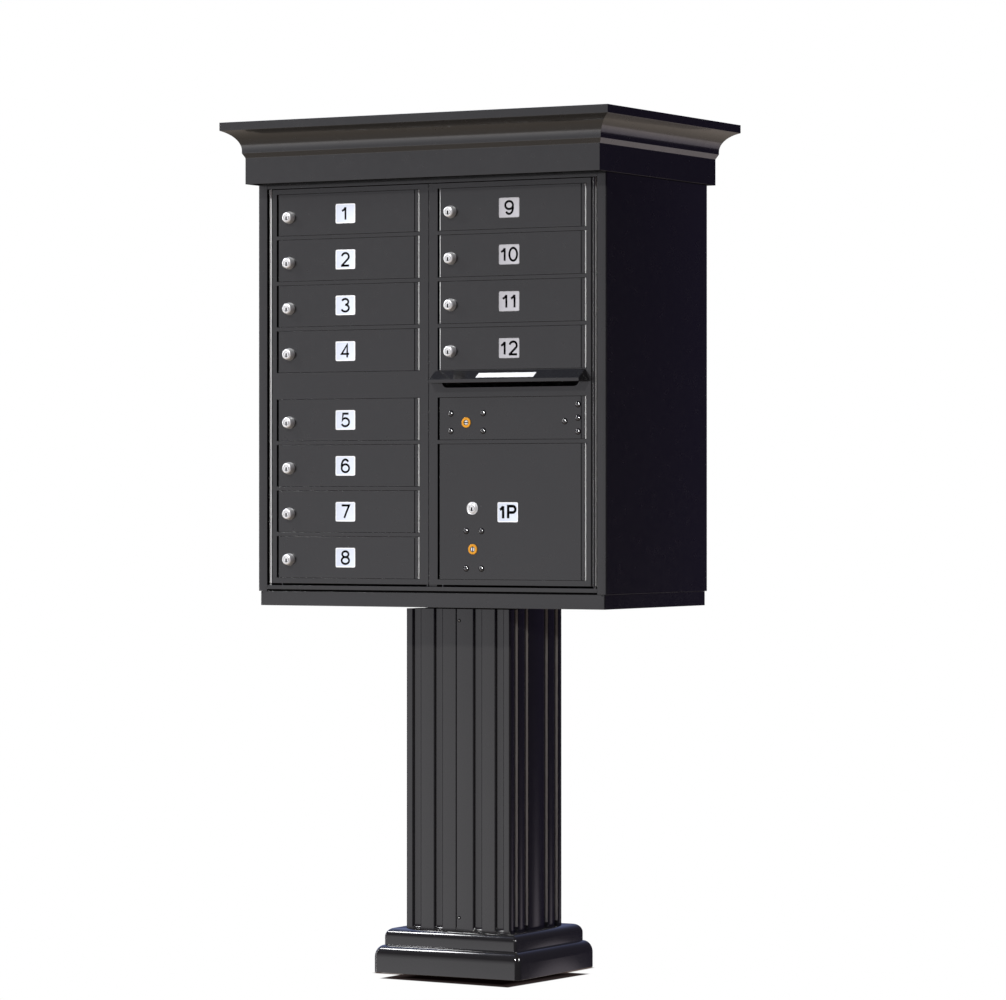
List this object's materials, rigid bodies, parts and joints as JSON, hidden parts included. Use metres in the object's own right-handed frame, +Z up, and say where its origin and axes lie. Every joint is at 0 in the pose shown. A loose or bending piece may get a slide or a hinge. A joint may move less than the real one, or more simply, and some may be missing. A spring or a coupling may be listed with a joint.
{
  "type": "cluster mailbox unit",
  "caption": "Pedestal-mounted cluster mailbox cabinet with locking tenant doors, a parcel door, an outgoing-mail slot under a hood, a crown-moulding cap and a fluted pillar cover.",
  "frame": {"origin": "centre of the underside of the pedestal's base plate, on the ground", "axes": "+Z up, the doors face -Y, +X to the right seen from the front"},
  "size_m": [0.8604, 0.5549, 1.6595],
  "materials": {
    "powder_coat": "semi-gloss powder coat",
    "post_steel": "satin primer-coated steel",
    "lock_nickel": "satin nickel plate",
    "lock_gold": "gold-lacquered",
    "lock_steel": "satin",
    "label_face": "gloss film",
    "label_grey": "satin film",
    "label_ink": "matt print"
  },
  "bodies": {
    "cabinet": {"cabinet_wrap": "powder_coat", "cabinet_roof": "powder_coat", "cabinet_floor_pan": "powder_coat", "front_frame": "powder_coat", "crown_cap": "powder_coat", "compartment_rack_left": "powder_coat", "compartment_rack_right": "powder_coat", "pedestal_post": "post_steel", "pillar_cover_left": "powder_coat", "pillar_cover_right": "powder_coat", "pillar_base_trim": "powder_coat"},
    "master_left": {"master_door_left": "powder_coat"},
    "master_right": {"master_door_right": "powder_coat", "mail_slot_hood": "powder_coat"},
    "tenant_1": {"tenant_door_1": "powder_coat", "lock_housing_1": "lock_nickel"},
    "plug_1": {"lock_plug_1": "lock_nickel"},
    "tenant_2": {"tenant_door_2": "powder_coat", "lock_housing_2": "lock_nickel"},
    "plug_2": {"lock_plug_2": "lock_nickel"},
    "tenant_3": {"tenant_door_3": "powder_coat", "lock_housing_3": "lock_nickel"},
    "plug_3": {"lock_plug_3": "lock_nickel"},
    "tenant_4": {"tenant_door_4": "powder_coat", "lock_housing_4": "lock_nickel"},
    "plug_4": {"lock_plug_4": "lock_nickel"},
    "tenant_5": {"tenant_door_5": "powder_coat", "lock_housing_5": "lock_nickel"},
    "plug_5": {"lock_plug_5": "lock_nickel"},
    "tenant_6": {"tenant_door_6": "powder_coat", "lock_housing_6": "lock_nickel"},
    "plug_6": {"lock_plug_6": "lock_nickel"},
    "tenant_7": {"tenant_door_7": "powder_coat", "lock_housing_7": "lock_nickel"},
    "plug_7": {"lock_plug_7": "lock_nickel"},
    "tenant_8": {"tenant_door_8": "powder_coat", "lock_housing_8": "lock_nickel"},
    "plug_8": {"lock_plug_8": "lock_nickel"},
    "tenant_9": {"tenant_door_9": "powder_coat", "lock_housing_9": "lock_nickel"},
    "plug_9": {"lock_plug_9": "lock_nickel"},
    "tenant_10": {"tenant_door_10": "powder_coat", "lock_housing_10": "lock_nickel"},
    "plug_10": {"lock_plug_10": "lock_nickel"},
    "tenant_11": {"tenant_door_11": "powder_coat", "lock_housing_11": "lock_nickel"},
    "plug_11": {"lock_plug_11": "lock_nickel"},
    "tenant_12": {"tenant_door_12": "powder_coat", "lock_housing_12": "lock_nickel"},
    "plug_12": {"lock_plug_12": "lock_nickel"},
    "access": {"access_door": "powder_coat", "access_lock_case": "lock_gold"},
    "access_plug": {"access_lock_plug": "lock_steel"},
    "access_slide": {"access_bolt": "lock_steel"},
    "parcel": {"parcel_door": "powder_coat", "parcel_carrier_lock_case": "lock_gold", "parcel_tenant_lock_housing": "lock_nickel"},
    "parcel_carrier_plug": {"parcel_carrier_lock_plug": "lock_steel"},
    "parcel_slide": {"parcel_carrier_bolt": "lock_steel"},
    "parcel_tenant_plug": {"parcel_tenant_lock_plug": "lock_nickel"}
  },
  "joints": [
    {"name": "master_left_hinge", "type": "hinge", "parent": "cabinet", "child": "master_left", "pos_m": [-0.36035, -0.21235, 0.7597], "axis": [0, 0, -1], "range_deg": [0, 100]},
    {"name": "master_right_hinge", "type": "hinge", "parent": "cabinet", "child": "master_right", "pos_m": [0.36035, -0.21235, 0.7597], "axis": [0, 0, 1], "range_deg": [0, 100]},
    {"name": "door_1_hinge", "type": "hinge", "parent": "master_left", "child": "tenant_1", "pos_m": [-0.0226, -0.2137, 1.4389], "axis": [0, 0, 1], "range_deg": [0, 100]},
    {"name": "lock_1_turn", "type": "hinge", "parent": "tenant_1", "child": "plug_1", "pos_m": [-0.3156, -0.216, 1.4744], "axis": [0, 1, 0], "range_deg": [0, 90]},
    {"name": "door_2_hinge", "type": "hinge", "parent": "master_left", "child": "tenant_2", "pos_m": [-0.0226, -0.2137, 1.3498], "axis": [0, 0, 1], "range_deg": [0, 100]},
    {"name": "lock_2_turn", "type": "hinge", "parent": "tenant_2", "child": "plug_2", "pos_m": [-0.3156, -0.216, 1.3853], "axis": [0, 1, 0], "range_deg": [0, 90]},
    {"name": "door_3_hinge", "type": "hinge", "parent": "master_left", "child": "tenant_3", "pos_m": [-0.0226, -0.2137, 1.2607], "axis": [0, 0, 1], "range_deg": [0, 100]},
    {"name": "lock_3_turn", "type": "hinge", "parent": "tenant_3", "child": "plug_3", "pos_m": [-0.3156, -0.216, 1.2962], "axis": [0, 1, 0], "range_deg": [0, 90]},
    {"name": "door_4_hinge", "type": "hinge", "parent": "master_left", "child": "tenant_4", "pos_m": [-0.0226, -0.2137, 1.1716], "axis": [0, 0, 1], "range_deg": [0, 100]},
    {"name": "lock_4_turn", "type": "hinge", "parent": "tenant_4", "child": "plug_4", "pos_m": [-0.3156, -0.216, 1.2071], "axis": [0, 1, 0], "range_deg": [0, 90]},
    {"name": "door_5_hinge", "type": "hinge", "parent": "master_left", "child": "tenant_5", "pos_m": [-0.0226, -0.2137, 1.03795], "axis": [0, 0, 1], "range_deg": [0, 100]},
    {"name": "lock_5_turn", "type": "hinge", "parent": "tenant_5", "child": "plug_5", "pos_m": [-0.3156, -0.216, 1.07345], "axis": [0, 1, 0], "range_deg": [0, 90]},
    {"name": "door_6_hinge", "type": "hinge", "parent": "master_left", "child": "tenant_6", "pos_m": [-0.0226, -0.2137, 0.94885], "axis": [0, 0, 1], "range_deg": [0, 100]},
    {"name": "lock_6_turn", "type": "hinge", "parent": "tenant_6", "child": "plug_6", "pos_m": [-0.3156, -0.216, 0.98435], "axis": [0, 1, 0], "range_deg": [0, 90]},
    {"name": "door_7_hinge", "type": "hinge", "parent": "master_left", "child": "tenant_7", "pos_m": [-0.0226, -0.2137, 0.85975], "axis": [0, 0, 1], "range_deg": [0, 100]},
    {"name": "lock_7_turn", "type": "hinge", "parent": "tenant_7", "child": "plug_7", "pos_m": [-0.3156, -0.216, 0.89525], "axis": [0, 1, 0], "range_deg": [0, 90]},
    {"name": "door_8_hinge", "type": "hinge", "parent": "master_left", "child": "tenant_8", "pos_m": [-0.0226, -0.2137, 0.77065], "axis": [0, 0, 1], "range_deg": [0, 100]},
    {"name": "lock_8_turn", "type": "hinge", "parent": "tenant_8", "child": "plug_8", "pos_m": [-0.3156, -0.216, 0.80615], "axis": [0, 1, 0], "range_deg": [0, 90]},
    {"name": "door_9_hinge", "type": "hinge", "parent": "master_right", "child": "tenant_9", "pos_m": [0.3421, -0.2137, 1.4389], "axis": [0, 0, 1], "range_deg": [0, 100]},
    {"name": "lock_9_turn", "type": "hinge", "parent": "tenant_9", "child": "plug_9", "pos_m": [0.0491, -0.216, 1.4744], "axis": [0, 1, 0], "range_deg": [0, 90]},
    {"name": "door_10_hinge", "type": "hinge", "parent": "master_right", "child": "tenant_10", "pos_m": [0.3421, -0.2137, 1.3498], "axis": [0, 0, 1], "range_deg": [0, 100]},
    {"name": "lock_10_turn", "type": "hinge", "parent": "tenant_10", "child": "plug_10", "pos_m": [0.0491, -0.216, 1.3853], "axis": [0, 1, 0], "range_deg": [0, 90]},
    {"name": "door_11_hinge", "type": "hinge", "parent": "master_right", "child": "tenant_11", "pos_m": [0.3421, -0.2137, 1.2607], "axis": [0, 0, 1], "range_deg": [0, 100]},
    {"name": "lock_11_turn", "type": "hinge", "parent": "tenant_11", "child": "plug_11", "pos_m": [0.0491, -0.216, 1.2962], "axis": [0, 1, 0], "range_deg": [0, 90]},
    {"name": "door_12_hinge", "type": "hinge", "parent": "master_right", "child": "tenant_12", "pos_m": [0.3421, -0.2137, 1.1716], "axis": [0, 0, 1], "range_deg": [0, 100]},
    {"name": "lock_12_turn", "type": "hinge", "parent": "tenant_12", "child": "plug_12", "pos_m": [0.0491, -0.216, 1.2071], "axis": [0, 1, 0], "range_deg": [0, 90]},
    {"name": "access_door_hinge", "type": "hinge", "parent": "master_right", "child": "access", "pos_m": [0.3421, -0.2137, 1.03795], "axis": [0, 0, 1], "range_deg": [0, 100]},
    {"name": "access_lock_turn", "type": "hinge", "parent": "access", "child": "access_plug", "pos_m": [0.0834, -0.216, 1.0705], "axis": [0, 1, 0], "range_deg": [0, 90]},
    {"name": "access_bolt_slide", "type": "slide", "parent": "access", "child": "access_slide", "axis": [-1, 0, 0], "range_m": [0, 0.012]},
    {"name": "parcel_door_hinge", "type": "hinge", "parent": "master_right", "child": "parcel", "pos_m": [0.3421, -0.2137, 0.77065], "axis": [0, 0, 1], "range_deg": [0, 100]},
    {"name": "parcel_carrier_lock_turn", "type": "hinge", "parent": "parcel", "child": "parcel_carrier_plug", "pos_m": [0.0978, -0.216, 0.8282], "axis": [0, 1, 0], "range_deg": [0, 90]},
    {"name": "parcel_carrier_bolt_slide", "type": "slide", "parent": "parcel", "child": "parcel_slide", "axis": [-1, 0, 0], "range_m": [0, 0.012]},
    {"name": "parcel_tenant_lock_turn", "type": "hinge", "parent": "parcel", "child": "parcel_tenant_plug", "pos_m": [0.0968, -0.216, 0.9067], "axis": [0, -1, 0], "range_deg": [0, 90]}
  ],
  "couplings": [
    {"joint": "access_lock_turn", "follows": "access_bolt_slide", "rad_per_m": 130.89},
    {"joint": "parcel_carrier_lock_turn", "follows": "parcel_carrier_bolt_slide", "rad_per_m": 130.89}
  ]
}
